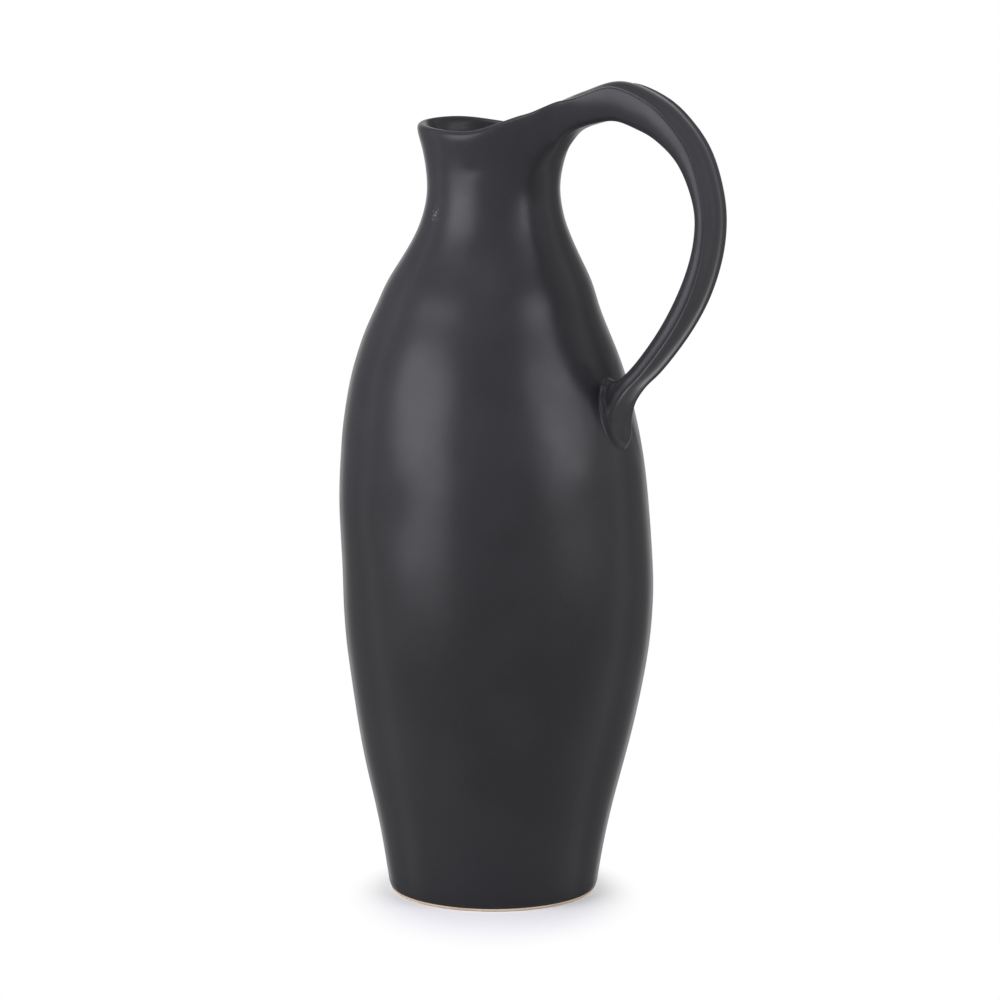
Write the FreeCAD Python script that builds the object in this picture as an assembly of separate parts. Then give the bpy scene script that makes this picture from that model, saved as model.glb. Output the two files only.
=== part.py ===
import FreeCAD, Part
import math
import os

# A handled stoneware jug with a drawn-out mouth. Millimetres, +Z up. The origin is the middle of the
# foot on the ground, the handle stands towards +X and the pouring lip points towards -X.

# Body
foot_radius = 52.8
foot_edge_round = 1.2
foot_width = 6.5
foot_height = 8.0
bare_edge_height = 1.6
floor_seat = 9.0
floor_thickness = 6.0
belly_radius = 79.6
belly_height = 165.0
neck_radius = 33.7
collar_length = 23.0
wall = 6.0
body_lean = 4.0

# Mouth
mouth_height = 394.0
mouth_radius = 37.2
mouth_flare_length = 31.0
rim_width = 5.4
rim_drop = 2.6
rim_tilt = 0.9
lip_reach = 3.0
lip_rise = 2.8
rim_rise_to_handle = 15.0
root_flare = 7.0

# Handle
root_length = 21.0
root_half_width = 20.0
handle_reach = 126.0
handle_rise = 26.0
handle_half_width = 12.6
handle_thickness = 7.2
handle_crown = 3.4
arris_width = 1.8
groove_depth = 0.6

# Leaf-shaped pad at the lower end of the handle
pad_height = 254.2
pad_half_length = 18.2
pad_half_width = 13.4
pad_margin = 8.0
pad_thickness = 3.5

# Outline of the body: (share of the height, share of the change in radius), from foot to belly,
# from belly to neck and from neck to mouth
lower_outline_shares = (
    (0.0, 0.0), (0.05, 0.07), (0.14, 0.16), (0.27, 0.32), (0.40, 0.51),
    (0.53, 0.68), (0.66, 0.82), (0.79, 0.935), (0.91, 0.99),
)
upper_outline_shares = (
    (0.0, 0.0), (0.09, 0.002), (0.19, 0.008), (0.25, 0.02), (0.35, 0.06), (0.43, 0.12), (0.535, 0.22),
    (0.61, 0.33), (0.69, 0.477), (0.77, 0.615), (0.845, 0.79), (0.92, 0.935),
)
mouth_outline_shares = ((0.0, 0.0), (0.30, 0.10), (0.60, 0.42), (0.85, 0.80), (1.0, 1.0))

# How far the body's middle stands off the axis: (share of the neck's height, share of the lean)
lean_shares = (
    (0.0, 0.0), (0.04, 0.0), (0.18, 0.19), (0.30, 0.60), (0.45, 0.70), (0.55, 0.16), (0.64, -0.15),
    (0.69, -0.50), (0.80, -1.0), (0.875, -0.53), (0.93, -0.12), (1.0, 0.05),
)

# How sharply the mouth draws out to the lip and to the handle, and how steeply its rim climbs there
lip_sharpness = 14
handle_side_sharpness = 8
lip_climb = 1.5
handle_climb = 1.6

# Places along the handle from its root to its pad. The ridge is (share of the way from the wall out to
# the reach, share of the way from the pad up to the top), and each section stands at its own angle
ridge_shares = (
    (0.099, 0.944), (0.210, 0.966), (0.384, 1.000), (0.585, 0.968), (0.750, 0.905), (0.907, 0.802),
    (1.000, 0.650), (0.983, 0.504), (0.864, 0.361), (0.671, 0.240), (0.433, 0.137), (0.244, 0.080),
    (0.082, 0.021),
)
handle_thickness_shares = (4.5, 2.8, 2.42, 2.33, 1.86, 1.38, 0.97, 1.02, 1.11, 1.03, 0.97, 1.1, 2.0)
section_degrees = (79, 71, 86, 71, 50, 27, 8, -18, -26, -31, -36, -49, -75)
handle_width_shares = (1.3, 1.06, 1.0, 1.0, 1.0, 1.0, 1.02, 1.04, 1.07, 1.09, 1.09, 1.07, 1.02)
handle_crown_shares = (0.3, 0.95, 0.55, 0.35, 0.35, 0.35, 0.35, 0.3, 0.3, 0.25, 0.1, 0.0, 0.0)
# How far the section's lower corners are rounded off, from not at all to fully
corner_round_shares = (1.0, 0.6, 0.1, 0.0, 0.0, 0.0, 0.0, 0.0, 0.0, 0.0, 0.0, 0.1, 0.3)
loops_per_place = 2
root_loops = 3
loose_loops = 3

# Half a section of the strap. Across is a share of the half width, down a share of the thickness,
# and the outer face also has (share of the groove's depth, share of the crown)
outer_face_shares = (0.0, 0.36, 0.72)
outer_face_depth_shares = ((0.0, 1.0), (0.4, 0.85), (1.0, 0.35))
side_shares = ((1.0, 0.11), (0.97, 0.55))
underside_face_shares = ((0.74, 0.96), (0.38, 1.0), (0.0, 1.0))
round_side_shares = ((1.0, 0.15), (0.87, 0.50))
round_underside_shares = ((0.58, 0.83), (0.30, 0.96), (0.0, 1.0))

# Half the leaf outline of the pad: (share of half width, share of half length from the middle up)
leaf_tip_shares = ((0.0, -1.0), (0.42, -0.91), (0.80, -0.66))
leaf_side_shares = ((0.97, -0.24), (0.98, 0.20), (0.83, 0.56))
leaf_top_shares = ((0.56, 0.83), (0.29, 0.95), (0.0, 1.0))
# Loops from the strap's end down to the wall round the pad, each as its inset in pad half widths and its
# height above the wall in pad thicknesses, both at the leaf's tip, its sides and its top
pad_loop_shares = (
    ((0.75, 0.04, 0.08), (0.25, 1.40, 1.10)),
    ((0.30, 0.05, 0.05), (0.75, 0.95, 0.75)),
    ((0.10, 0.06, 0.03), (0.45, 0.45, 0.35)),
    ((0.0, 0.03, 0.0), (0.0, 0.0, 0.0)),
)
wall_loop_shares = (
    ((-0.09, -0.09, -0.09), (0.0, 0.0, 0.0)),
    ((-0.28, -0.28, -0.28), (0.0, 0.0, 0.0)),
)

# Rings up the wall, as shares of each stretch: outside from the foot to the belly and on to the pad,
# then at the mouth (share of the way up from the handle's root to the rim, share of the flare)
lower_ring_shares = (0.095, 0.23, 0.37, 0.51, 0.65, 0.785, 0.905)
belly_ring_shares = (0.26, 0.53, 0.78)
outer_mouth_shares = ((0.0, 0.1), (0.55, 0.5), (1.0, 1.0))
inner_mouth_shares = ((0.55, 0.4), (0.0, 0.0))
# Rings of the inner corner at the floor: (walls above the floor, share of the way from floor to wall)
floor_corner_shares = ((2.0, 1.0), (0.8, 0.8), (0.0, 0.4))
pad_rings = 4
shoulder_rings = 5
neck_rings = 3
inner_neck_rings = 2
inner_shoulder_rings = 6
inner_lower_rings = 5

# Columns round the wall: two each side of the handle's middle, then the rest as shares of the way
# round to the lip
opening_columns = 2
side_column_shares = (0.08, 0.2, 0.345, 0.505, 0.67, 0.835, 1.0)

fitting_rounds = 40

neck_height = mouth_height - mouth_flare_length
shoulder_seam_height = neck_height - collar_length
root_low_height = mouth_height - root_length
handle_top = mouth_height + handle_rise
pad_low = pad_height - pad_half_length - pad_margin
pad_high = pad_height + pad_half_length + pad_margin
floor_top = foot_height + floor_thickness
foot_inside = foot_radius - foot_edge_round - foot_width
floor_radius = foot_inside - floor_seat
half_count = opening_columns + len(side_column_shares)
column_count = 2 * half_count


def between(low, high, share):
    return low + (high - low) * share


def ease(share):
    held = min(1.0, max(0.0, share))
    return held * held * (3.0 - 2.0 * held)


def smooth_through(stations, at):
    """Value of a smooth curve through (place, value) stations, level beyond its ends."""
    if at <= stations[0][0]:
        return stations[0][1]
    if at >= stations[-1][0]:
        return stations[-1][1]
    last = len(stations) - 1
    low = max(k for k in range(last) if stations[k][0] <= at)

    def slope(k):
        before = stations[max(k - 1, 0)]
        after = stations[min(k + 1, last)]
        return (after[1] - before[1]) / (after[0] - before[0])

    start, end = stations[low], stations[low + 1]
    span = end[0] - start[0]
    t = (at - start[0]) / span
    held = (1.0 + 2.0 * t) * (1.0 - t) ** 2 * start[1] + t * t * (3.0 - 2.0 * t) * end[1]
    turned = t * (1.0 - t) ** 2 * slope(low) - t * t * (1.0 - t) * slope(low + 1)
    return held + span * turned


def outline_stations():
    stretches = (
        (lower_outline_shares, 0.0, belly_height, foot_radius, belly_radius),
        (upper_outline_shares, belly_height, neck_height, belly_radius, neck_radius),
        (mouth_outline_shares, neck_height, mouth_height, neck_radius, mouth_radius),
    )
    return [
        (between(low, high, up), between(start, end, change))
        for shares, low, high, start, end in stretches
        for up, change in shares
    ]


outline = outline_stations()
lean = [(up * neck_height, share * body_lean) for up, share in lean_shares]


def outer_radius(height):
    return smooth_through(outline, height)


def on_body(radius, angle, height):
    """Point at a radius about the leaning middle of the body."""
    return FreeCAD.Vector(
        smooth_through(lean, height) + radius * math.cos(angle), radius * math.sin(angle), height
    )


pad_angle = math.asin((pad_half_width + pad_margin) / outer_radius(pad_height))
root_angle = math.asin(root_half_width / (neck_radius + root_flare))


def towards_handle(angle):
    return ((1.0 + math.cos(angle)) / 2.0) ** handle_side_sharpness


def towards_lip(angle):
    return ((1.0 - math.cos(angle)) / 2.0) ** lip_sharpness


def rim_top(angle):
    facing = math.cos(angle)
    lip = lip_rise * max(0.0, -facing) ** lip_climb
    rise = rim_rise_to_handle * max(0.0, facing) ** handle_climb
    return mouth_height + lip + rise - rim_tilt * math.sin(angle)


def column_angle(column, height):
    """Angle of a column: the first ones follow the pad's width low down and the handle's root above."""
    signed = column if column <= half_count else column - column_count
    opening = between(pad_angle, root_angle, ease((height - pad_high) / (root_low_height - pad_high)))
    if abs(signed) <= opening_columns:
        return opening * signed / opening_columns
    share = side_column_shares[abs(signed) - opening_columns - 1]
    return math.copysign(between(opening, math.pi, share), signed)


class Cage:
    """Quads whose smooth limit surface passes through the given points, but for the loose ones."""

    def __init__(self):
        self.targets = []
        self.loose = set()
        self.faces = []
        self.piece_of_face = []

    def point(self, place):
        self.targets.append(place)
        return len(self.targets) - 1

    def face(self, corners, piece):
        self.faces.append(tuple(corners))
        self.piece_of_face.append(piece)

    def settle(self):
        """Move the cage until its limit surface meets the targets, then keep its control points."""
        around = [[] for _ in self.targets]
        for number, corners in enumerate(self.faces):
            for place, corner in enumerate(corners):
                around[corner].append((number, place))
        edges = {}
        for number, corners in enumerate(self.faces):
            for place, corner in enumerate(corners):
                for other in (corners[(place + 1) % 4], corners[place - 1]):
                    edges.setdefault((corner, other), []).append((number, place))
        inside = [
            corner
            for corner, ring in enumerate(around)
            if ring and corner not in self.loose
            and all(len(edges[(corner, other)]) == 2 for other in self.neighbours(corner, around))
        ]
        self.cage = [FreeCAD.Vector(target) for target in self.targets]
        for _ in range(fitting_rounds):
            self.place_points(around, edges)
            for corner in inside:
                self.cage[corner] += self.targets[corner] - self.corner_point[corner]
        self.place_points(around, edges)

    def neighbours(self, corner, around):
        found = []
        for number, place in around[corner]:
            corners = self.faces[number]
            found += [corners[(place + 1) % 4], corners[place - 1]]
        return found

    def place_points(self, around, edges):
        self.inner_point = {}
        for number, corners in enumerate(self.faces):
            points = [self.cage[corner] for corner in corners]
            for place, corner in enumerate(corners):
                valence = len(around[corner])
                total = points[place] * valence + points[(place + 1) % 4] * 2.0
                total += points[place - 1] * 2.0 + points[(place + 2) % 4]
                self.inner_point[(number, place)] = total * (1.0 / (valence + 5.0))
        self.corner_point = [self.mean(ring) if ring else None for ring in around]
        self.edge_point = {edge: self.mean(sides) for edge, sides in edges.items()}

    def mean(self, keys):
        total = FreeCAD.Vector()
        for key in keys:
            total += self.inner_point[key]
        return total * (1.0 / len(keys))

    def curve(self, start, end):
        """The four control points of the limit curve from one corner to the next."""
        return [
            self.corner_point[start],
            self.edge_point[(start, end)],
            self.edge_point[(end, start)],
            self.corner_point[end],
        ]

    def patch(self, number):
        a, b, c, d = self.faces[number]
        inner = [self.inner_point[(number, place)] for place in range(4)]
        near, right, far, left = self.curve(a, b), self.curve(b, c), self.curve(d, c), self.curve(a, d)
        return patch_face([
            [left[0], left[1], left[2], left[3]],
            [near[1], inner[0], inner[3], far[1]],
            [near[2], inner[1], inner[2], far[2]],
            [right[0], right[1], right[2], right[3]],
        ])

    def piece_faces(self, piece):
        return [self.patch(k) for k, name in enumerate(self.piece_of_face) if name == piece]


def patch_face(net):
    """Face of one bicubic or ruled patch from its net of control points."""
    across, along = len(net), len(net[0])
    surface = Part.BSplineSurface()
    surface.buildFromPolesMultsKnots(
        net, [across, across], [along, along], [0.0, 1.0], [0.0, 1.0], False, False, across - 1, along - 1
    )
    return surface.toShape()


def ruled_faces(first_curves, second_curves):
    """Straight faces between two rings of matching curves."""
    return [
        patch_face([[start, end] for start, end in zip(first, second)])
        for first, second in zip(first_curves, second_curves)
    ]


def wire_of(curves):
    edges = []
    for points in curves:
        curve = Part.BezierCurve()
        curve.setPoles(points)
        edges.append(curve.toShape())
    return Part.Wire(edges)


def drawn_in(curves, height, ratio=1.0):
    """A ring of curves laid level at a height and drawn in towards the axis."""
    return [[FreeCAD.Vector(p.x * ratio, p.y * ratio, height) for p in curve] for curve in curves]


def chained(curves):
    """Control points of curves that follow on, without repeating where they join."""
    return curves[0] + [point for curve in curves[1:] for point in curve[1:]]


def membrane_faces(cage, loop):
    """Smooth sheet across a loop of the handle, four patches wide and four high."""
    side = len(loop) // 4
    corners = [loop[(k * side + step) % len(loop)] for k in range(4) for step in range(side)]

    def run(places):
        return chained([cage.curve(corners[p], corners[q]) for p, q in zip(places, places[1:])])

    low = run(list(range(side + 1)))
    right = run(list(range(side, 2 * side + 1)))
    high = run(list(range(3 * side, 2 * side - 1, -1)))
    left = run([0] + list(range(4 * side - 1, 3 * side - 1, -1)))
    last = len(low) - 1

    def grid_point(across, along):
        u, v = across / last, along / last
        blended = low[across] * (1.0 - v) + high[across] * v + left[along] * (1.0 - u) + right[along] * u
        ends = (low[0] * (1.0 - u) + low[last] * u) * (1.0 - v)
        return blended - ends - (high[0] * (1.0 - u) + high[last] * u) * v

    grid = [[grid_point(i, j) for j in range(last + 1)] for i in range(last + 1)]
    return [
        patch_face([row[j:j + 4] for row in grid[i:i + 4]])
        for i in range(0, last, 3)
        for j in range(0, last, 3)
    ]


def solid_of(faces):
    shell = Part.makeShell(faces)
    shell.sewShape()
    solid = Part.makeSolid(shell)
    if solid.Volume < 0:
        solid.reverse()
    return solid


class Wall:
    """The jug's wall as rings of cage points: up the outside, over the rim and down the inside."""

    def __init__(self, cage):
        self.cage = cage
        self.rings = []
        self.piece_of_band = []
        self.row = {}

    def ring(self, piece, radius_at, height_at, mark=None):
        """Add a ring. The band from it to the next ring belongs to the piece."""
        if mark:
            self.row[mark] = len(self.rings)
        ring = []
        for column in range(column_count):
            angle = column_angle(column, height_at(0.0))
            height = height_at(angle)
            ring.append(self.cage.point(on_body(radius_at(angle, height), angle, height)))
        self.rings.append(ring)
        self.piece_of_band.append(piece)

    def level(self, piece, height, inset=0.0, mark=None):
        self.ring(piece, lambda angle, at: outer_radius(at) - inset, lambda angle: height, mark)

    def mouth(self, up, flared, inset=0.0, lift=0.0, mark=None):
        """Ring near the mouth, a share of the way up from the handle's root to the rim."""

        def radius_at(angle, height):
            flare = root_flare * towards_handle(angle) + lip_reach * towards_lip(angle)
            return outer_radius(height) - inset + flared * flare

        def height_at(angle):
            return between(root_low_height, rim_top(angle) - rim_drop, up) + lift

        self.ring("neck", radius_at, height_at, mark)

    def curves(self, mark):
        ring = self.rings[self.row[mark]]
        return [self.cage.curve(ring[k], ring[(k + 1) % column_count]) for k in range(column_count)]

    def opening_loop(self, top, bottom):
        """Corners round a handle's opening, those of the strap's outer face first."""
        step = 1 if bottom > top else -1
        across = range(-opening_columns, opening_columns + 1)
        between_rows = list(range(top + step, bottom, step))
        loop = [self.rings[top][k] for k in across]
        loop += [self.rings[row][opening_columns] for row in between_rows]
        loop += [self.rings[bottom][k] for k in reversed(across)]
        return loop + [self.rings[row][-opening_columns] for row in reversed(between_rows)]

    def add_faces(self, openings):
        """Quads between the rings, but for the blocks where the handle joins."""
        for row in range(len(self.rings) - 1):
            low, high = self.rings[row], self.rings[row + 1]
            opened = any(start <= row < end for start, end in openings)
            for column in range(column_count):
                in_opening = column < opening_columns or column >= column_count - opening_columns
                if not (opened and in_opening):
                    after = (column + 1) % column_count
                    corners = (low[column], low[after], high[after], high[column])
                    self.cage.face(corners, self.piece_of_band[row])


def add_outside(wall_rings):
    edge = foot_edge_round
    bevel = edge * (1.0 - math.sqrt(0.5))
    wall_rings.level(None, -edge, 2.0 * edge)
    wall_rings.level("foot_ring", 0.0, edge, "ground")
    wall_rings.level("foot_ring", bevel, bevel)
    wall_rings.level("lower_wall", bare_edge_height, mark="glaze_line")
    wall_rings.level("lower_wall", foot_height)
    for share in lower_ring_shares:
        wall_rings.level("lower_wall", between(foot_height, belly_height, share))
    wall_rings.level("shoulder_wall", belly_height, mark="belly")
    for share in belly_ring_shares:
        wall_rings.level("shoulder_wall", between(belly_height, pad_low, share))
    wall_rings.level("shoulder_wall", pad_low, mark="pad_low")
    for k in range(1, pad_rings):
        wall_rings.level("shoulder_wall", between(pad_low, pad_high, k / pad_rings))
    wall_rings.level("shoulder_wall", pad_high, mark="pad_high")
    for k in range(1, shoulder_rings):
        wall_rings.level("shoulder_wall", between(pad_high, shoulder_seam_height, k / shoulder_rings))
    wall_rings.level("neck", shoulder_seam_height, mark="seam")
    for k in range(1, neck_rings):
        wall_rings.level("neck", between(shoulder_seam_height, root_low_height, k / neck_rings))


def add_mouth(wall_rings):
    marks = ["root_low"] + [None] * (len(outer_mouth_shares) - 1)
    for (up, flared), mark in zip(outer_mouth_shares, marks):
        wall_rings.mouth(up, flared, mark=mark)
    wall_rings.mouth(1.0, 1.0, rim_width / 2.0, rim_drop)
    wall_rings.mouth(1.0, 1.0, rim_width, mark="inner_edge")
    for up, flared in inner_mouth_shares:
        wall_rings.mouth(up, flared, wall)


def add_inside(wall_rings):
    for k in range(1, inner_neck_rings):
        height = between(root_low_height, shoulder_seam_height, k / inner_neck_rings)
        wall_rings.level("neck", height, wall)
    wall_rings.level("shoulder_wall", shoulder_seam_height, wall, "inner_seam")
    for k in range(1, inner_shoulder_rings):
        height = between(shoulder_seam_height, belly_height, k / inner_shoulder_rings)
        wall_rings.level("shoulder_wall", height, wall)
    wall_rings.level("lower_wall", belly_height, wall, "inner_belly")
    corner_top = floor_top + floor_corner_shares[0][0] * wall
    for k in range(1, inner_lower_rings):
        wall_rings.level("lower_wall", between(belly_height, corner_top, k / inner_lower_rings), wall)
    for walls_up, out in floor_corner_shares:
        wall_rings.ring(
            "lower_wall",
            lambda angle, height: between(floor_radius, outer_radius(height) - wall, out),
            lambda angle: floor_top + walls_up * wall,
        )
    wall_rings.ring(None, lambda angle, height: floor_radius, lambda angle: floor_top, "floor")
    wall_rings.ring(None, lambda angle, height: floor_radius - wall, lambda angle: floor_top)


def whole_loop(face, side, under):
    """Places (across, rest) round a loop, from those of one half."""

    def turned(places):
        return [(-across, rest) for across, rest in reversed(places)]

    return turned(face[1:]) + face + side + under + turned(under[:-1]) + turned(side)


def mixed_places(first, second, share):
    return [tuple(between(a, b, share) for a, b in zip(*pair)) for pair in zip(first, second)]


def strap_loop(cage, ridge, away, half_width, crown, roundness):
    """One section of the strap, from its ridge line down to its underside."""
    depths = [(groove_depth * dip - crown * up) / away.Length for dip, up in outer_face_depth_shares]
    arris = (1.0 - arris_width / half_width / 2.0, 0.0)
    face = list(zip(outer_face_shares, depths))
    side = mixed_places(side_shares, round_side_shares, roundness)
    under = mixed_places(underside_face_shares, round_underside_shares, roundness)
    loop = []
    for across, down in whole_loop(face, [arris] + side, under):
        place = ridge - away * down
        loop.append(cage.point(FreeCAD.Vector(place.x, across * half_width, place.z)))
    return loop


def strap_loops(cage):
    last = len(ridge_shares) - 1
    pad_wall = on_body(outer_radius(pad_height), 0.0, pad_height).x
    loops = []
    for k in range(last * loops_per_place + 1):
        at = k / loops_per_place

        def along(values):
            return smooth_through(list(enumerate(values)), at)

        wall_place = between(neck_radius, pad_wall, at / last)
        x = between(wall_place, handle_reach, along([out for out, up in ridge_shares]))
        z = between(pad_height, handle_top, along([up for out, up in ridge_shares]))
        angle = math.radians(along(section_degrees))
        thickness = handle_thickness * along(handle_thickness_shares)
        away = FreeCAD.Vector(math.cos(angle), 0.0, math.sin(angle)) * thickness
        half_width = handle_half_width * along(handle_width_shares)
        crown = handle_crown * along(handle_crown_shares)
        roundness = along(corner_round_shares)
        loops.append(strap_loop(cage, FreeCAD.Vector(x, 0.0, z), away, half_width, crown, roundness))
    return loops


def leaf_loop(cage, inset_shares, proud_shares):
    """Loop of the pad's leaf outline, drawn in from its edge and standing proud of the wall."""

    def along_leaf(shares, up):
        tip, side, top = shares
        return between(side, tip if up < 0.0 else top, abs(up))

    loop = []
    for across, up in whole_loop(list(leaf_tip_shares), list(leaf_side_shares), list(leaf_top_shares)):
        inset = pad_half_width * along_leaf(inset_shares, up)
        y = across * (pad_half_width - inset)
        height = pad_height + up * (pad_half_length - inset)
        radius = outer_radius(height)
        proud = pad_thickness * along_leaf(proud_shares, up)
        loop.append(cage.point(on_body(radius + proud, math.asin(y / radius), height)))
    return loop


def tube_faces(cage, loops, piece):
    count = len(loops[0])
    for here, there in zip(loops, loops[1:]):
        for k in range(count):
            after = (k + 1) % count
            cage.face((here[after], here[k], there[k], there[after]), piece)


def foot_and_floor(wall_rings):
    """Faces of the foot and floor that lie on other pieces or on the ground, by name."""
    glaze_line = wall_rings.curves("glaze_line")
    ground = drawn_in(wall_rings.curves("ground"), 0.0)
    inside_low = drawn_in(glaze_line, 0.0, foot_inside / foot_radius)
    inside_high = drawn_in(glaze_line, foot_height, foot_inside / foot_radius)
    floor_high = drawn_in(wall_rings.curves("floor"), floor_top)
    floor_low = drawn_in(floor_high, foot_height)
    return {
        "bearing": [Part.makeFace([wire_of(ground), wire_of(inside_low)], "Part::FaceMakerBullseye")],
        "inside": ruled_faces(inside_low, inside_high),
        "foot_seam": ruled_faces(glaze_line, inside_high),
        "wall_under": ruled_faces(inside_high, floor_low),
        "floor_side": ruled_faces(floor_low, floor_high),
        "floor_faces": [Part.Face(wire_of(floor_low)), Part.Face(wire_of(floor_high))],
    }


def main():
    cage = Cage()
    wall_rings = Wall(cage)
    add_outside(wall_rings)
    add_mouth(wall_rings)
    add_inside(wall_rings)
    row = wall_rings.row
    wall_rings.add_faces([(row["pad_low"], row["pad_high"]), (row["root_low"], row["inner_edge"])])

    root = wall_rings.opening_loop(row["inner_edge"], row["root_low"])
    pad_wall = wall_rings.opening_loop(row["pad_low"], row["pad_high"])
    strap = strap_loops(cage)
    pad_loops = [leaf_loop(cage, *shares) for shares in pad_loop_shares]
    wall_loops = [leaf_loop(cage, *shares) for shares in wall_loop_shares]
    for loop in strap[-loose_loops:] + pad_loops + wall_loops:
        cage.loose.update(loop)
    root_end, strap_end, crease = strap[root_loops - 1], strap[-1], pad_loops[-1]
    tube_faces(cage, [root] + strap[:root_loops], "handle_root")
    tube_faces(cage, strap[root_loops - 1:], "handle_strap")
    tube_faces(cage, [strap_end] + pad_loops, "handle_terminal")
    tube_faces(cage, [crease] + wall_loops + [pad_wall], "shoulder_wall")
    cage.settle()

    foot = foot_and_floor(wall_rings)
    belly_seam = ruled_faces(wall_rings.curves("belly"), wall_rings.curves("inner_belly"))
    neck_seam = ruled_faces(wall_rings.curves("seam"), wall_rings.curves("inner_seam"))
    root_seat, root_joint = membrane_faces(cage, root), membrane_faces(cage, root_end)
    pad_joint, pad_seat = membrane_faces(cage, strap_end), membrane_faces(cage, crease)
    contact_faces = {
        "foot_ring": foot["bearing"] + foot["inside"] + foot["foot_seam"],
        "floor_disc": foot["floor_side"] + foot["floor_faces"],
        "lower_wall": foot["foot_seam"] + foot["wall_under"] + foot["floor_side"] + belly_seam,
        "shoulder_wall": belly_seam + neck_seam + pad_seat,
        "neck": neck_seam + root_seat,
        "handle_root": root_seat + root_joint,
        "handle_strap": root_joint + pad_joint,
        "handle_terminal": pad_joint + pad_seat,
    }
    os.makedirs("parts", exist_ok=True)
    for name, faces in contact_faces.items():
        solid = solid_of(cage.piece_faces(name) + faces)
        print(name, "valid" if solid.isValid() else "not valid", round(solid.Volume), "mm3")
        solid.exportStep("parts/" + name + ".step")


main()
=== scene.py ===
import math

import bpy
import numpy as np
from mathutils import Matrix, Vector


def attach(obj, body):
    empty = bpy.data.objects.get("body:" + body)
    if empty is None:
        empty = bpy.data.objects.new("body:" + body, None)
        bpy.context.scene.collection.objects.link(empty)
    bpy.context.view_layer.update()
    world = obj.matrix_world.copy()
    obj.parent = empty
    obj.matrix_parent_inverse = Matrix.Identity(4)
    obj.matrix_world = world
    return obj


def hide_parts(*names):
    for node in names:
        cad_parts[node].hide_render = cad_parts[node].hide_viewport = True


# A handled stoneware jug under a dark satin glaze, standing on a bare clay foot. Metres, +Z up. The
# handle stands towards +X and the pouring lip points towards -X.

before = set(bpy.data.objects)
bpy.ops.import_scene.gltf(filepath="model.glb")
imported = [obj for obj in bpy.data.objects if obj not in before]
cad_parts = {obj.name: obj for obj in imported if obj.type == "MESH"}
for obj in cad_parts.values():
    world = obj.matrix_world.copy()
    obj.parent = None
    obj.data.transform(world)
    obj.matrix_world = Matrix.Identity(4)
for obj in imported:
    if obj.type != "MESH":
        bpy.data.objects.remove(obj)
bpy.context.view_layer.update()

# Body
foot_radius = 0.0528
foot_edge_round = 0.0012
foot_width = 0.0065
foot_height = 0.008
bare_edge_height = 0.0016
floor_seat = 0.009
floor_thickness = 0.006
belly_radius = 0.0796
belly_height = 0.165
neck_radius = 0.0337
collar_length = 0.023
wall = 0.006
body_lean = 0.004

# Mouth
mouth_height = 0.394
mouth_radius = 0.0372
mouth_flare_length = 0.031
rim_width = 0.0054
rim_drop = 0.0026
rim_tilt = 0.0009
lip_reach = 0.003
lip_rise = 0.0028
rim_rise_to_handle = 0.015
root_flare = 0.007

# Handle
root_length = 0.021
root_half_width = 0.020
handle_reach = 0.126
handle_rise = 0.026
handle_half_width = 0.0126
handle_thickness = 0.0072
handle_crown = 0.0034
arris_width = 0.0018
groove_depth = 0.0006

# Leaf-shaped pad at the lower end of the handle
pad_height = 0.2542
pad_half_length = 0.0182
pad_half_width = 0.0134
pad_margin = 0.008
pad_thickness = 0.0035

# Outline of the body: (share of the height, share of the change in radius), from foot to belly,
# from belly to neck and from neck to mouth
lower_outline_shares = (
    (0.0, 0.0), (0.05, 0.07), (0.14, 0.16), (0.27, 0.32), (0.40, 0.51),
    (0.53, 0.68), (0.66, 0.82), (0.79, 0.935), (0.91, 0.99),
)
upper_outline_shares = (
    (0.0, 0.0), (0.09, 0.002), (0.19, 0.008), (0.25, 0.02), (0.35, 0.06), (0.43, 0.12), (0.535, 0.22),
    (0.61, 0.33), (0.69, 0.477), (0.77, 0.615), (0.845, 0.79), (0.92, 0.935),
)
mouth_outline_shares = ((0.0, 0.0), (0.30, 0.10), (0.60, 0.42), (0.85, 0.80), (1.0, 1.0))

# How far the body's middle stands off the axis: (share of the neck's height, share of the lean)
lean_shares = (
    (0.0, 0.0), (0.04, 0.0), (0.18, 0.19), (0.30, 0.60), (0.45, 0.70), (0.55, 0.16), (0.64, -0.15),
    (0.69, -0.50), (0.80, -1.0), (0.875, -0.53), (0.93, -0.12), (1.0, 0.05),
)

# How sharply the mouth draws out to the lip and to the handle, and how steeply its rim climbs there
lip_sharpness = 14
handle_side_sharpness = 8
lip_climb = 1.5
handle_climb = 1.6

# Places along the handle from its root to its pad. The ridge is (share of the way from the wall out to
# the reach, share of the way from the pad up to the top), and each section stands at its own angle
ridge_shares = (
    (0.099, 0.944), (0.210, 0.966), (0.384, 1.000), (0.585, 0.968), (0.750, 0.905), (0.907, 0.802),
    (1.000, 0.650), (0.983, 0.504), (0.864, 0.361), (0.671, 0.240), (0.433, 0.137), (0.244, 0.080),
    (0.082, 0.021),
)
handle_thickness_shares = (4.5, 2.8, 2.42, 2.33, 1.86, 1.38, 0.97, 1.02, 1.11, 1.03, 0.97, 1.1, 2.0)
section_degrees = (79, 71, 86, 71, 50, 27, 8, -18, -26, -31, -36, -49, -75)
handle_width_shares = (1.3, 1.06, 1.0, 1.0, 1.0, 1.0, 1.02, 1.04, 1.07, 1.09, 1.09, 1.07, 1.02)
handle_crown_shares = (0.3, 0.95, 0.55, 0.35, 0.35, 0.35, 0.35, 0.3, 0.3, 0.25, 0.1, 0.0, 0.0)
# How far the section's lower corners are rounded off, from not at all to fully
corner_round_shares = (1.0, 0.6, 0.1, 0.0, 0.0, 0.0, 0.0, 0.0, 0.0, 0.0, 0.0, 0.1, 0.3)
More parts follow.
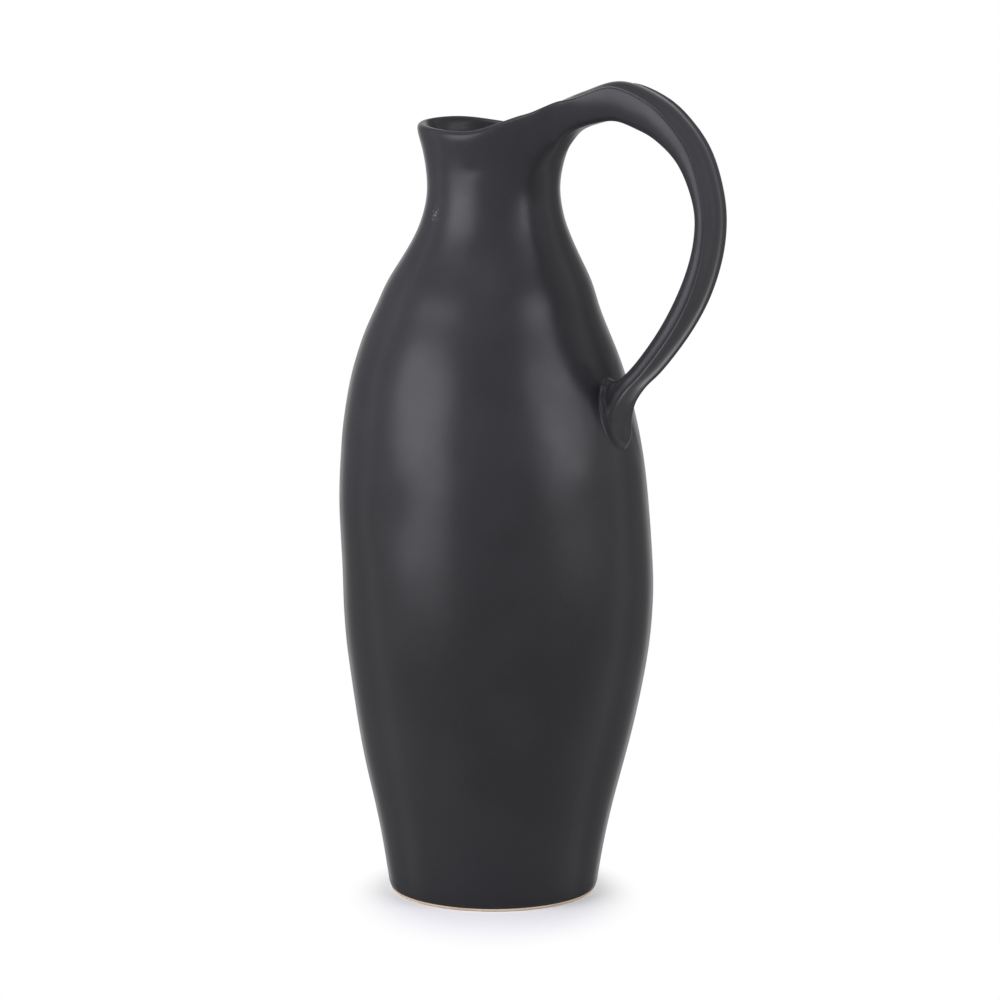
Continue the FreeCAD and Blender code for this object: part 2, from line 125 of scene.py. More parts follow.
# Loops of the strap for each place, the first ones that belong to the root, and the last ones that only
# guide the surface
loops_per_place = 2
root_loops = 3
loose_loops = 3

# Half a section of the strap. Across is a share of the half width, down a share of the thickness,
# and the outer face also has (share of the groove's depth, share of the crown)
outer_face_shares = (0.0, 0.36, 0.72)
outer_face_depth_shares = ((0.0, 1.0), (0.4, 0.85), (1.0, 0.35))
side_shares = ((1.0, 0.11), (0.97, 0.55))
underside_face_shares = ((0.74, 0.96), (0.38, 1.0), (0.0, 1.0))
round_side_shares = ((1.0, 0.15), (0.87, 0.50))
round_underside_shares = ((0.58, 0.83), (0.30, 0.96), (0.0, 1.0))

# Half the leaf outline of the pad: (share of half width, share of half length from the middle up)
leaf_tip_shares = ((0.0, -1.0), (0.42, -0.91), (0.80, -0.66))
leaf_side_shares = ((0.97, -0.24), (0.98, 0.20), (0.83, 0.56))
leaf_top_shares = ((0.56, 0.83), (0.29, 0.95), (0.0, 1.0))
# Loops from the strap's end down to the wall round the pad, each as its inset in pad half widths and its
# height above the wall in pad thicknesses, both at the leaf's tip, its sides and its top
pad_loop_shares = (
    ((0.75, 0.04, 0.08), (0.25, 1.40, 1.10)),
    ((0.30, 0.05, 0.05), (0.75, 0.95, 0.75)),
    ((0.10, 0.06, 0.03), (0.45, 0.45, 0.35)),
    ((0.0, 0.03, 0.0), (0.0, 0.0, 0.0)),
)
wall_loop_shares = (
    ((-0.09, -0.09, -0.09), (0.0, 0.0, 0.0)),
    ((-0.28, -0.28, -0.28), (0.0, 0.0, 0.0)),
)

# Rings up the wall, as shares of each stretch: outside from the foot to the belly and on to the pad,
# then at the mouth (share of the way up from the handle's root to the rim, share of the flare)
lower_ring_shares = (0.095, 0.23, 0.37, 0.51, 0.65, 0.785, 0.905)
belly_ring_shares = (0.26, 0.53, 0.78)
outer_mouth_shares = ((0.0, 0.1), (0.55, 0.5), (1.0, 1.0))
inner_mouth_shares = ((0.55, 0.4), (0.0, 0.0))
# Rings of the inner corner at the floor: (walls above the floor, share of the way from floor to wall)
floor_corner_shares = ((2.0, 1.0), (0.8, 0.8), (0.0, 0.4))
pad_rings = 4
shoulder_rings = 5
neck_rings = 3
inner_neck_rings = 2
inner_shoulder_rings = 6
inner_lower_rings = 5

# Columns round the wall: two each side of the handle's middle, then the rest as shares of the way
# round to the lip
opening_columns = 2
side_column_shares = (0.08, 0.2, 0.345, 0.505, 0.67, 0.835, 1.0)

# Rounds that bring the surface onto its points, and how often each quad is halved both ways
fitting_rounds = 40
subdivision_levels = 4

neck_height = mouth_height - mouth_flare_length
shoulder_seam_height = neck_height - collar_length
root_low_height = mouth_height - root_length
handle_top = mouth_height + handle_rise
pad_low = pad_height - pad_half_length - pad_margin
pad_high = pad_height + pad_half_length + pad_margin
floor_top = foot_height + floor_thickness
foot_inside = foot_radius - foot_edge_round - foot_width
floor_radius = foot_inside - floor_seat
half_count = opening_columns + len(side_column_shares)
column_count = 2 * half_count

pieces = (
    "foot_ring", "lower_wall", "shoulder_wall", "neck", "handle_root", "handle_strap", "handle_terminal",
)


def between(low, high, share):
    return low + (high - low) * share


def ease(value, none, full):
    """Share that runs from 0 at one value to 1 at another, eased at both."""
    share = np.clip((value - none) / (full - none), 0.0, 1.0)
    return share * share * (3.0 - 2.0 * share)


def smooth_through(stations, at):
    """Value of a smooth curve through (place, value) stations, level beyond its ends."""
    if at <= stations[0][0]:
        return stations[0][1]
    if at >= stations[-1][0]:
        return stations[-1][1]
    last = len(stations) - 1
    low = max(k for k in range(last) if stations[k][0] <= at)

    def slope(k):
        before = stations[max(k - 1, 0)]
        after = stations[min(k + 1, last)]
        return (after[1] - before[1]) / (after[0] - before[0])

    start, end = stations[low], stations[low + 1]
    span = end[0] - start[0]
    t = (at - start[0]) / span
    held = (1.0 + 2.0 * t) * (1.0 - t) ** 2 * start[1] + t * t * (3.0 - 2.0 * t) * end[1]
    turned = t * (1.0 - t) ** 2 * slope(low) - t * t * (1.0 - t) * slope(low + 1)
    return held + span * turned


def outline_stations():
    stretches = (
        (lower_outline_shares, 0.0, belly_height, foot_radius, belly_radius),
        (upper_outline_shares, belly_height, neck_height, belly_radius, neck_radius),
        (mouth_outline_shares, neck_height, mouth_height, neck_radius, mouth_radius),
    )
    return [
        (between(low, high, up), between(start, end, change))
        for shares, low, high, start, end in stretches
        for up, change in shares
    ]


outline = outline_stations()
lean = [(up * neck_height, share * body_lean) for up, share in lean_shares]


def outer_radius(height):
    return smooth_through(outline, height)


def on_body(radius, angle, height):
    """Point at a radius about the leaning middle of the body."""
    middle = smooth_through(lean, height)
    return (middle + radius * math.cos(angle), radius * math.sin(angle), height)


pad_angle = math.asin((pad_half_width + pad_margin) / outer_radius(pad_height))
root_angle = math.asin(root_half_width / (neck_radius + root_flare))


def towards_handle(angle):
    return ((1.0 + math.cos(angle)) / 2.0) ** handle_side_sharpness


def towards_lip(angle):
    return ((1.0 - math.cos(angle)) / 2.0) ** lip_sharpness


def rim_top(angle):
    facing = math.cos(angle)
    lip = lip_rise * max(0.0, -facing) ** lip_climb
    rise = rim_rise_to_handle * max(0.0, facing) ** handle_climb
    return mouth_height + lip + rise - rim_tilt * math.sin(angle)


def column_angle(column, height):
    """Angle of a column: the first ones follow the pad's width low down and the handle's root above."""
    signed = column if column <= half_count else column - column_count
    opening = between(pad_angle, root_angle, ease(height, pad_high, root_low_height))
    if abs(signed) <= opening_columns:
        return opening * signed / opening_columns
    share = side_column_shares[abs(signed) - opening_columns - 1]
    return math.copysign(between(opening, math.pi, share), signed)


class Cage:
    """Quads whose smooth limit surface passes through the given points, but for the loose ones."""

    def __init__(self):
        self.targets = []
        self.loose = []
        self.faces = []
        self.piece_of_face = []

    def point(self, place):
        self.targets.append(tuple(place))
        return len(self.targets) - 1

    def face(self, corners, piece):
        self.faces.append(tuple(corners))
        self.piece_of_face.append(pieces.index(piece) if piece else -1)

    def limit_points(self, control, faces, sides):
        """Where each control point lies on the limit surface."""
        corners, meeting = control[faces], sides[faces][..., None]
        beside = np.roll(corners, -1, axis=1) + np.roll(corners, 1, axis=1)
        opposite = np.roll(corners, 2, axis=1)
        inner = (meeting * corners + 2.0 * beside + opposite) / (meeting + 5.0)
        return gathered(faces, inner, len(control)) / np.maximum(sides, 1)[:, None]

    def settle(self):
        """The control points that bring the limit surface through the targets."""
        targets, faces = np.array(self.targets), np.array(self.faces)
        sides = np.bincount(faces.ravel(), minlength=len(targets))
        inside = np.ones(len(targets), bool)
        inside[border_edges(faces).ravel()] = False
        inside[sides == 0] = False
        inside[self.loose] = False
        control = targets.copy()
        for _ in range(fitting_rounds):
            missing = targets - self.limit_points(control, faces, sides)
            control[inside] += missing[inside]
        return control

    def surface(self):
        """Points, quads and each quad's piece on the finely divided limit surface."""
        mesh = bpy.data.meshes.new("cage")
        mesh.from_pydata([tuple(p) for p in self.settle()], [], self.faces)
        mesh.attributes.new("piece", "INT", "FACE").data.foreach_set("value", self.piece_of_face)
        cage = add_object("cage", mesh)
        smooth = cage.modifiers.new("smooth", "SUBSURF")
        smooth.levels = subdivision_levels
        smooth.use_limit_surface = True
        graph = bpy.context.evaluated_depsgraph_get()
        divided = bpy.data.meshes.new_from_object(cage.evaluated_get(graph))
        points = read(divided.vertices, "co", np.float32, 3).reshape(-1, 3).astype(float)
        quads = read(divided.loops, "vertex_index", np.int32).reshape(-1, 4)
        piece = read(divided.attributes["piece"].data, "value", np.int32)
        bpy.data.objects.remove(cage)
        bpy.data.meshes.remove(mesh)
        bpy.data.meshes.remove(divided)
        return points, quads, piece


def add_object(name, data):
    made = bpy.data.objects.new(name, data)
    bpy.context.scene.collection.objects.link(made)
    return made


def read(items, name, kind, size=1):
    """A property of all the items, each of them with so many numbers."""
    values = np.empty(len(items) * size, kind)
    items.foreach_get(name, values)
    return values


def gathered(faces, values, count):
    """Sum, for each point, of the values at the face corners that meet there."""
    columns = values.reshape(-1, values.shape[-1]).T
    return np.stack([np.bincount(faces.ravel(), column, count) for column in columns], axis=1)


def border_edges(faces):
    """Directed edges that only one face has, as its winding runs."""
    starts, ends = faces.ravel(), np.roll(faces, -1, axis=1).ravel()
    size = int(faces.max()) + 1
    keys, back = starts.astype(np.int64) * size + ends, ends.astype(np.int64) * size + starts
    alone = ~np.isin(keys, back)
    return np.stack([starts[alone], ends[alone]], axis=1)


class Wall:
    """The jug's wall as rings of cage points: up the outside, over the rim and down the inside."""

    def __init__(self, cage):
        self.cage = cage
        self.rings = []
        self.piece_of_band = []
        self.row = {}

    def ring(self, piece, radius_at, height_at, mark=None):
        """Add a ring. The band from it to the next ring belongs to the piece."""
        if mark:
            self.row[mark] = len(self.rings)
        ring = []
        for column in range(column_count):
            angle = column_angle(column, height_at(0.0))
            height = height_at(angle)
            ring.append(self.cage.point(on_body(radius_at(angle, height), angle, height)))
        self.rings.append(ring)
        self.piece_of_band.append(piece)

    def level(self, piece, height, inset=0.0, mark=None):
        self.ring(piece, lambda angle, at: outer_radius(at) - inset, lambda angle: height, mark)

    def mouth(self, up, flared, inset=0.0, lift=0.0, mark=None):
        """Ring near the mouth, a share of the way up from the handle's root to the rim."""

        def radius_at(angle, height):
            flare = root_flare * towards_handle(angle) + lip_reach * towards_lip(angle)
            return outer_radius(height) - inset + flared * flare

        def height_at(angle):
            return between(root_low_height, rim_top(angle) - rim_drop, up) + lift

        self.ring("neck", radius_at, height_at, mark)

    def opening_loop(self, top, bottom):
        """Corners round a handle's opening, those of the strap's outer face first."""
        step = 1 if bottom > top else -1
        across = range(-opening_columns, opening_columns + 1)
        between_rows = list(range(top + step, bottom, step))
        loop = [self.rings[top][k] for k in across]
        loop += [self.rings[row][opening_columns] for row in between_rows]
        loop += [self.rings[bottom][k] for k in reversed(across)]
        return loop + [self.rings[row][-opening_columns] for row in reversed(between_rows)]

    def add_faces(self, openings):
        """Quads between the rings, but for the blocks where the handle joins."""
        for row in range(len(self.rings) - 1):
            low, high = self.rings[row], self.rings[row + 1]
            opened = any(start <= row < end for start, end in openings)
            for column in range(column_count):
                in_opening = column < opening_columns or column >= column_count - opening_columns
                if not (opened and in_opening):
                    after = (column + 1) % column_count
                    corners = (low[column], low[after], high[after], high[column])
                    self.cage.face(corners, self.piece_of_band[row])


def add_outside(wall_rings):
    edge = foot_edge_round
    bevel = edge * (1.0 - math.sqrt(0.5))
    wall_rings.level(None, -edge, 2.0 * edge)
    wall_rings.level("foot_ring", 0.0, edge, "ground")
    wall_rings.level("foot_ring", bevel, bevel)
    wall_rings.level("lower_wall", bare_edge_height, mark="glaze_line")
    wall_rings.level("lower_wall", foot_height)
    for share in lower_ring_shares:
        wall_rings.level("lower_wall", between(foot_height, belly_height, share))
    wall_rings.level("shoulder_wall", belly_height, mark="belly")
    for share in belly_ring_shares:
        wall_rings.level("shoulder_wall", between(belly_height, pad_low, share))
    wall_rings.level("shoulder_wall", pad_low, mark="pad_low")
    for k in range(1, pad_rings):
        wall_rings.level("shoulder_wall", between(pad_low, pad_high, k / pad_rings))
    wall_rings.level("shoulder_wall", pad_high, mark="pad_high")
    for k in range(1, shoulder_rings):
        wall_rings.level("shoulder_wall", between(pad_high, shoulder_seam_height, k / shoulder_rings))
    wall_rings.level("neck", shoulder_seam_height, mark="seam")
    for k in range(1, neck_rings):
        wall_rings.level("neck", between(shoulder_seam_height, root_low_height, k / neck_rings))


def add_mouth(wall_rings):
    marks = ["root_low"] + [None] * (len(outer_mouth_shares) - 1)
    for (up, flared), mark in zip(outer_mouth_shares, marks):
        wall_rings.mouth(up, flared, mark=mark)
    wall_rings.mouth(1.0, 1.0, rim_width / 2.0, rim_drop)
    wall_rings.mouth(1.0, 1.0, rim_width, mark="inner_edge")
    for up, flared in inner_mouth_shares:
        wall_rings.mouth(up, flared, wall)


def add_inside(wall_rings):
    for k in range(1, inner_neck_rings):
        height = between(root_low_height, shoulder_seam_height, k / inner_neck_rings)
        wall_rings.level("neck", height, wall)
    wall_rings.level("shoulder_wall", shoulder_seam_height, wall, "inner_seam")
    for k in range(1, inner_shoulder_rings):
        height = between(shoulder_seam_height, belly_height, k / inner_shoulder_rings)
        wall_rings.level("shoulder_wall", height, wall)
    wall_rings.level("lower_wall", belly_height, wall, "inner_belly")
    corner_top = floor_top + floor_corner_shares[0][0] * wall
    for k in range(1, inner_lower_rings):
        wall_rings.level("lower_wall", between(belly_height, corner_top, k / inner_lower_rings), wall)
    for walls_up, out in floor_corner_shares:
        wall_rings.ring(
            "lower_wall",
            lambda angle, height: between(floor_radius, outer_radius(height) - wall, out),
            lambda angle: floor_top + walls_up * wall,
        )
    wall_rings.ring(None, lambda angle, height: floor_radius, lambda angle: floor_top, "floor")
    wall_rings.ring(None, lambda angle, height: floor_radius - wall, lambda angle: floor_top)


def whole_loop(face, side, under):
    """Places (across, rest) round a loop, from those of one half."""

    def turned(places):
        return [(-across, rest) for across, rest in reversed(places)]

    return turned(face[1:]) + face + side + under + turned(under[:-1]) + turned(side)


def mixed_places(first, second, share):
    return [tuple(between(a, b, share) for a, b in zip(*pair)) for pair in zip(first, second)]


def strap_loop(cage, ridge, away, half_width, crown, roundness):
    """One section of the strap, from its ridge line down to its underside."""
    depths = [(groove_depth * dip - crown * up) / away.length for dip, up in outer_face_depth_shares]
    arris = (1.0 - arris_width / half_width / 2.0, 0.0)
    face = list(zip(outer_face_shares, depths))
    side = mixed_places(side_shares, round_side_shares, roundness)
    under = mixed_places(underside_face_shares, round_underside_shares, roundness)
    loop = []
    for across, down in whole_loop(face, [arris] + side, under):
        place = ridge - away * down
        loop.append(cage.point((place.x, across * half_width, place.z)))
    return loop


def strap_loops(cage):
    last = len(ridge_shares) - 1
    pad_wall = on_body(outer_radius(pad_height), 0.0, pad_height)[0]
    loops = []
    for k in range(last * loops_per_place + 1):
        at = k / loops_per_place

        def along(values):
            return smooth_through(list(enumerate(values)), at)

        wall_place = between(neck_radius, pad_wall, at / last)
        x = between(wall_place, handle_reach, along([out for out, up in ridge_shares]))
        z = between(pad_height, handle_top, along([up for out, up in ridge_shares]))
        angle = math.radians(along(section_degrees))
        thickness = handle_thickness * along(handle_thickness_shares)
        away = Vector((math.cos(angle), 0.0, math.sin(angle))) * thickness
        half_width = handle_half_width * along(handle_width_shares)
        crown = handle_crown * along(handle_crown_shares)
        roundness = along(corner_round_shares)
        loops.append(strap_loop(cage, Vector((x, 0.0, z)), away, half_width, crown, roundness))
    return loops


def leaf_loop(cage, inset_shares, proud_shares):
    """Loop of the pad's leaf outline, drawn in from its edge and standing proud of the wall."""

    def along_leaf(shares, up):
        tip, side, top = shares
        return between(side, tip if up < 0.0 else top, abs(up))

    loop = []
    for across, up in whole_loop(list(leaf_tip_shares), list(leaf_side_shares), list(leaf_top_shares)):
        inset = pad_half_width * along_leaf(inset_shares, up)
        y = across * (pad_half_width - inset)
        height = pad_height + up * (pad_half_length - inset)
        radius = outer_radius(height)
        proud = pad_thickness * along_leaf(proud_shares, up)
        loop.append(cage.point(on_body(radius + proud, math.asin(y / radius), height)))
    return loop


def tube_faces(cage, loops, piece):
    count = len(loops[0])
    for here, there in zip(loops, loops[1:]):
        for k in range(count):
            after = (k + 1) % count
            cage.face((here[after], here[k], there[k], there[after]), piece)


def jug_cage():
    cage = Cage()
    wall_rings = Wall(cage)
    add_outside(wall_rings)
    add_mouth(wall_rings)
    add_inside(wall_rings)
    row = wall_rings.row
    wall_rings.add_faces([(row["pad_low"], row["pad_high"]), (row["root_low"], row["inner_edge"])])

    root = wall_rings.opening_loop(row["inner_edge"], row["root_low"])
    pad_wall = wall_rings.opening_loop(row["pad_low"], row["pad_high"])
    strap = strap_loops(cage)
    pad_loops = [leaf_loop(cage, *shares) for shares in pad_loop_shares]
    wall_loops = [leaf_loop(cage, *shares) for shares in wall_loop_shares]
    for loop in strap[-loose_loops:] + pad_loops + wall_loops:
        cage.loose += loop
    tube_faces(cage, [root] + strap[:root_loops], "handle_root")
    tube_faces(cage, strap[root_loops - 1:], "handle_strap")
    tube_faces(cage, [strap[-1]] + pad_loops, "handle_terminal")
    tube_faces(cage, pad_loops[-1:] + wall_loops + [pad_wall], "shoulder_wall")
    return cage


least_length = 1e-12


def point_normals(points, faces):
    corners = points[faces]
    across = np.cross(corners[:, 2] - corners[:, 0], corners[:, 3] - corners[:, 1])
    normals = gathered(faces, np.repeat(across[:, None], 4, axis=1), len(points))
    return normals / np.maximum(np.linalg.norm(normals, axis=1, keepdims=True), least_length)


def neighbour_mean(values, faces):
    """Mean over the points that share an edge with each point."""
    beside = np.roll(values[faces], 1, axis=1) + np.roll(values[faces], -1, axis=1)
    counted = gathered(faces, np.full(beside.shape[:2] + (1,), 2.0), len(values))
    return gathered(faces, beside, len(values)) / counted


# Where the clay is smoothed over beside the handle, alike on both sides: (x, y, z, reach). Then the rounds
# of smoothing, and the least share of it that still counts
join_places = ((0.037, 0.018, 0.376, 0.012), (0.034, 0.021, 0.366, 0.012), (0.088, 0.009, 0.398, 0.009))
join_rounds = 120
join_least = 0.003


def softened(points, faces):
    """The points with the joins beside the handle's root smoothed over."""
    share = np.zeros(len(points))
    for x, y, z, reach in join_places:
        away = np.stack([points[:, 0] - x, np.abs(points[:, 1]) - y, points[:, 2] - z], axis=1)
        share = np.maximum(share, np.exp(-np.sum(away * away, axis=1) / reach ** 2))
    used, near = np.unique(faces[(share[faces] > join_least).any(axis=1)], return_inverse=True)
    near = near.reshape(-1, 4)
    moved, pull = points[used], np.where(share[used] > join_least, share[used], 0.0)[:, None]
    for _ in range(join_rounds):
        moved = moved + pull * (neighbour_mean(moved, near) - moved)
    points = points.copy()
    points[used] = moved
    return points


# How the glaze lies, from how sharply the surface bends, in bends per metre: it runs thin over an edge,
# where its lighter, browner mark is also a painted highlight, and pools in a hollow. Each is (none, full)
thin_glaze_and_highlight_bend = (50.0, 260.0)
pool_bend = (25.0, 160.0)
spread_rounds = 5
least_step = 1e-6


def edge_and_hollow(points, faces, normals):
    """Two values from 0 to 1 at each point: how much of an edge it is, and how much of a hollow."""
    lifted = np.sum((points - neighbour_mean(points, faces)) * normals, axis=1)
    reach = np.linalg.norm(points[faces] - np.roll(points[faces], 1, axis=1), axis=2)[..., None]
    sides = np.bincount(faces.ravel(), minlength=len(points)).clip(1)
    step = gathered(faces, reach, len(points))[:, 0] / sides
    bend = (2.0 * lifted / step.clip(least_step) ** 2)[:, None]
    for _ in range(spread_rounds):
        bend = neighbour_mean(bend, faces)
    return ease(bend[:, 0], *thin_glaze_and_highlight_bend), ease(-bend[:, 0], *pool_bend)


# Hand-thrown unevenness. Soft dents in the outside: (angle in degrees, height, half width, half height,
# depth). Angle 0 is the handle's side and 180 the lip's
dents = (
    (257.0, 0.207, 0.022, 0.022, 0.0021),
    (272.0, 0.272, 0.024, 0.016, 0.0006),
    (272.0, 0.322, 0.024, 0.016, 0.0007),
    (272.0, 0.376, 0.016, 0.011, 0.0006),
    (283.0, 0.377, 0.006, 0.004, 0.0004),
    (330.0, 0.322, 0.020, 0.016, 0.0005),
    (332.0, 0.272, 0.022, 0.016, 0.0006),
    (341.0, 0.211, 0.018, 0.020, 0.0006),
    (40.0, 0.230, 0.030, 0.022, 0.0009),
    (110.0, 0.260, 0.032, 0.024, 0.0010),
    (160.0, 0.190, 0.026, 0.030, 0.0009),
    (205.0, 0.280, 0.030, 0.020, 0.0008),
)
# Where the rim stands a little higher: (angle in degrees, rise, half width in degrees)
rim_rises = ((-95.0, 0.0010, 35.0), (145.0, 0.0015, 32.0))
rim_rise_reach = 0.02
throwing_pitch = 0.0065
inner_throwing_depth = 0.00028
skin_inset = 0.00002
glaze_roll_height = 0.0022
glaze_roll = 0.00022
# Where across the wall the unevenness acts, in walls out from its outer side, as (none, full): on the
# outer side, off the handle, and on the inner side
outer_side_range = (-0.6, -0.2)
off_handle_range = (0.3, 0.05)
inner_side_range = (-0.6, -0.9)

table_steps = 420
table_heights = [k * handle_top / table_steps for k in range(table_steps + 1)]
table_middles = [smooth_through(lean, z) for z in table_heights]
table_radii = [outer_radius(z) for z in table_heights]


def turn_from(degrees, angle):
    """Angle from a direction, within half a turn either way."""
    return (angle - math.radians(degrees) + math.pi) % math.tau - math.pi


def uneven(points, normals):
    """The points moved along their normals by the maker's unevenness, never far and mostly inwards."""
    height = points[:, 2]
    out_x, out_y = points[:, 0] - np.interp(height, table_heights, table_middles), points[:, 1]
    angle, radius = np.arctan2(out_y, out_x), np.hypot(out_x, out_y)
    wall_radius = np.interp(height, table_heights, table_radii)
    walls_out = (radius - wall_radius) / wall
    outside = ease(walls_out, *outer_side_range) * ease(walls_out, *off_handle_range)
    inside = ease(walls_out, *inner_side_range)
    wave = 0.5 - 0.5 * np.cos(angle + math.tau * height / throwing_pitch)
    move = -skin_inset - inside * inner_throwing_depth * wave
    for degrees, at_height, half_width, half_height, depth in dents:
        along = turn_from(degrees, angle) * wall_radius / half_width
        up = (height - at_height) / half_height
        move -= outside * depth * np.exp(-along ** 2 - up ** 2)
    roll = (height - bare_edge_height) / glaze_roll_height - 1.0
    move += outside * glaze_roll * np.exp(-roll ** 2)
    moved = points + normals * move[:, None]
    for degrees, rise, half_width in rim_rises:
        along = turn_from(degrees, angle) / math.radians(half_width)
        share = ease(height, mouth_height - rim_rise_reach, mouth_height)
        moved[:, 2] += rise * share * np.exp(-along ** 2)
    return moved


# The hidden seam at the handle's root first runs straight into the clay, this deep, and then to a middle
# that lies this far from the mean of its edge, so that the seam stays within the clay
root_seam_depth = 0.0015
root_seam_middle = (0.0035, 0.0, -0.002)


def radii(places):
    return np.hypot(places[:, 0], places[:, 1])


class Piece:
    """One closed piece cut from the whole surface, with the hidden faces where it meets the others."""

    def __init__(self, points, quads, normals, marks):
        used, faces = np.unique(quads, return_inverse=True)
        self.points = [points[used]]
        self.count = len(used)
        self.smooth = faces.reshape(-1, 4)
        self.normals = normals[used]
        self.marks = {name: values[used] for name, values in marks.items()}
        self.hidden = []
        self.loops = self.border_loops()

    def border_loops(self):
        """Each border as a loop of point numbers, in the order that hidden faces run along it."""
        follows = {int(end): int(start) for start, end in border_edges(self.smooth)}
        loops = []
        while follows:
            start, here = follows.popitem()
            loop = [start, here]
            while loop[-1] in follows:
                loop.append(follows.pop(loop[-1]))
            loops.append(loop[:-1])
        return loops

    def place(self, numbers):
        return np.concatenate(self.points)[numbers]

    def add_loop(self, places):
        start = self.count
        self.points.append(np.array(places))
        self.count += len(places)
        return list(range(start, self.count))

    def add_level_loop(self, loop, radius, height):
        """A new level loop at a radius about the axis, that matches another point for point."""
        places = self.place(loop)
        turn = np.arctan2(places[:, 1], places[:, 0])
        level = np.full(len(turn), height)
        return self.add_loop(np.stack([radius * np.cos(turn), radius * np.sin(turn), level], axis=1))

    def loop_near(self, height, radius):
        """The border loop nearest to a height and radius."""

        def miss(loop):
            places = self.place(loop)
            return abs(places[:, 2].mean() - height) + abs(radii(places).mean() - radius)

        return min(self.loops, key=miss)

    def strip(self, first, second):
        """Quads from one loop to another that matches it point for point."""
        for k in range(len(first)):
            n = (k + 1) % len(first)
            self.hidden.append((first[k], first[n], second[n], second[k]))

    def strip_back(self, first, second):
        """Quads from one loop round the axis to another that runs the other way."""
        back = second[::-1]
        start = int(np.argmin(radii(self.place(back) - self.place(first[:1]))))
        self.strip(first, back[start:] + back[:start])

    def fan(self, loop):
        """Close a handle's opening. At the mouth the seam bends, clear of both sides of the wall."""
        middle = self.place(loop).mean(axis=0)
        if np.hypot(middle[0], middle[1]) < neck_radius + root_flare:
            middle += root_seam_middle
            deeper = self.add_loop(self.place(loop) - root_seam_depth * self.normals[loop])
            self.strip(loop, deeper)
            loop = deeper
        centre = self.add_loop([middle])[0]
        for k in range(len(loop)):
            self.hidden.append((loop[k], loop[(k + 1) % len(loop)], centre))

    def make(self, name, material):
        mesh = bpy.data.meshes.new(name)
        faces = self.smooth.tolist() + self.hidden
        mesh.from_pydata(np.concatenate(self.points).tolist(), [], faces)
        mesh.polygons.foreach_set("use_smooth", [k < len(self.smooth) for k in range(len(faces))])
        mesh.materials.append(material)
        for mark, values in self.marks.items():
            padded = np.zeros(self.count, np.float32)
            padded[:len(values)] = values
            mesh.attributes.new(mark, "FLOAT", "POINT").data.foreach_set("value", padded)
        corner_normals = np.zeros((len(mesh.loops), 3), np.float32)
        corner_normals[:self.smooth.size] = self.normals[self.smooth.ravel()]
        mesh.normals_split_custom_set(corner_normals)
        mesh.update()
        return add_object(name, mesh)


class Shader:
    """A material's nodes, with short calls for the kinds used here."""

    def __init__(self, name):
        self.material = bpy.data.materials.new(name)
        self.material.use_nodes = True
        self.nodes = self.material.node_tree.nodes
        self.links = self.material.node_tree.links
        self.surface = self.nodes["Principled BSDF"]
        self.place = self.nodes.new("ShaderNodeTexCoord").outputs["Object"]

    def put(self, socket, value):
        """Link another node's output to a socket, or set a constant on it."""
        if isinstance(value, bpy.types.NodeSocket):
            self.links.new(value, socket)
        elif socket.type == "RGBA":
            socket.default_value = (*value, 1.0)
        else:
            socket.default_value = value

    def add(self, kind, inputs, **settings):
        node = self.nodes.new(kind)
        for name, value in settings.items():
            setattr(node, name, value)
        for key, value in inputs.items():
            self.put(node.inputs[key], value)
        return node

    def math(self, operation, first, second):
        return self.add("ShaderNodeMath", {0: first, 1: second}, operation=operation).outputs["Value"]

    def mark(self, name):
        return self.add("ShaderNodeAttribute", {}, attribute_name=name).outputs["Fac"]

    def noise(self, scale, detail=2.0, roughness=0.5):
        inputs = {"Vector": self.place, "Scale": scale, "Detail": detail, "Roughness": roughness}
        return self.add("ShaderNodeTexNoise", inputs).outputs["Fac"]

    def spread(self, value, low, high, to_low=0.0, to_high=1.0):
        inputs = {"Value": value, "From Min": low, "From Max": high, "To Min": to_low, "To Max": to_high}
        return self.add("ShaderNodeMapRange", inputs, interpolation_type="SMOOTHSTEP").outputs["Result"]

    def pattern(self, scale, detail, low, high):
        """Noise that counts as 0 below one value and as 1 above another."""
        return self.spread(self.noise(scale, detail), low, high)

    def mixed(self, share, under, over):
        node = self.add("ShaderNodeMix", {}, data_type="RGBA")
        sockets = {socket.identifier: socket for socket in node.inputs}
        for name, value in (("Factor_Float", share), ("A_Color", under), ("B_Color", over)):
            self.put(sockets[name], value)
        return next(s for s in node.outputs if s.identifier == "Result_Color")

    def laid(self, colour, over, share, strength):
        """A colour with another laid over it, by a share times a strength."""
        return self.mixed(self.math("MULTIPLY", share, strength), colour, over)

    def bump(self, height, depth, normal=None):
        inputs = {"Height": height, "Distance": depth, "Strength": 1.0}
        if normal:
            inputs["Normal"] = normal
        return self.add("ShaderNodeBump", inputs).outputs["Normal"]

    def finish(self, colour, roughness, normal, gloss):
        given = {"Base Color": colour, "Roughness": roughness, "Normal": normal, "Specular IOR Level": gloss}
        for name, value in given.items():
            self.put(self.surface.inputs[name], value)
        return self.material


# Patterns in the materials: (scale, detail, value below which there is none, value above which it is full)
glaze_clouds = (22.0, 3.0, 0.35, 0.65)
glaze_grain = (1500.0, 2.0, 0.60, 0.72)
glaze_flecks = (900.0, 2.0, 0.56, 0.60)
clay_clouds = (60.0, 3.0, 0.3, 0.7)
clay_dark_grains = (1700.0, 2.0, 0.62, 0.70)
clay_pale_grains = (1100.0, 2.0, 0.63, 0.72)
# Unevenness of their surfaces: (scale, detail, roughness of the noise)
glaze_mottle = (70.0, 4.0, 0.6)
glaze_peel = (260.0, 2.0, 0.5)
glaze_tooth = (1800.0, 3.0, 0.5)
clay_mottle = (400.0, 2.0, 0.5)
clay_grit = (900.0, 4.0, 0.65)
mottle_range = (0.3, 0.7)
